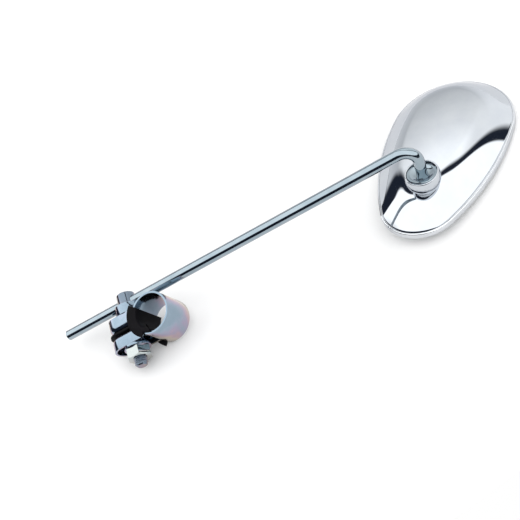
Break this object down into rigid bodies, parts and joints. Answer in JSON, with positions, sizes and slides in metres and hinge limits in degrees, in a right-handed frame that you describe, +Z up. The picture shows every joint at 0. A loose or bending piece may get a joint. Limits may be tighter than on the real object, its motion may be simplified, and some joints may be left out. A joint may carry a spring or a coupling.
{
  "type": "motorcycle mirror",
  "caption": "Clamp-on motorcycle mirror: teardrop chromed head on a ball joint, bent rod stem, and a lined strap clamp drawn shut round the handlebar by an eye bolt.",
  "frame": {"origin": "on the axis of the handlebar that the clamp holds, at the middle of the strap's length", "axes": "+Z up, with the mirror lying glass down on a level table, on its rim and its clamp; +X level, from the clamp along the stem to the head"},
  "size_m": [0.3684, 0.1585, 0.0641],
  "materials": {
    "chrome": "polished",
    "zinc": "bright zinc plate",
    "rod": "drawn and plated",
    "spring": "plain",
    "liner": "moulded",
    "pad": "moulded",
    "glass": "silvered",
    "edging": "matt"
  },
  "bodies": {
    "clamp": {"clamp_strap": "zinc", "clamp_liner": "liner"},
    "eye": {"eye_bolt": "zinc", "saddle_collar": "zinc", "flat_washer": "zinc", "lock_nut": "zinc"},
    "arm": {"stem": "rod", "ball": "zinc"},
    "pad": {"friction_pad": "pad"},
    "spring": {"dish_spring": "spring"},
    "head": {"ball_cup": "chrome", "cup_rivet": "zinc", "rivet_washer": "zinc", "mirror_shell": "chrome", "retaining_rim": "chrome", "mirror_glass": "glass", "glass_edging": "edging", "glass_backing": "edging"}
  },
  "joints": [
    {"name": "arm_swivel", "type": "hinge", "parent": "clamp", "child": "eye", "pos_m": [-0.02618, 0, -0.0041], "axis": [-0.0468, 0.9532, 0.2987], "continuous": true},
    {"name": "stem_slide", "type": "slide", "parent": "eye", "child": "arm", "axis": [0.988, 0, 0.1547], "range_m": [-0.13, 0.045]},
    {"name": "ball_pan", "type": "hinge", "parent": "arm", "child": "pad", "pos_m": [0.20969, 0.01888, 0.01402], "axis": [0.4173, 0.9082, -0.0322], "range_deg": [-15, 15]},
    {"name": "ball_tilt", "type": "hinge", "parent": "pad", "child": "spring", "pos_m": [0.20969, 0.01888, 0.01402], "axis": [-0.9058, 0.4185, 0.0658], "range_deg": [-15, 15]},
    {"name": "head_spin", "type": "hinge", "parent": "spring", "child": "head", "pos_m": [0.20969, 0.01888, 0.01402], "axis": [0.0732, 0.0017, 0.9973], "continuous": true}
  ]
}
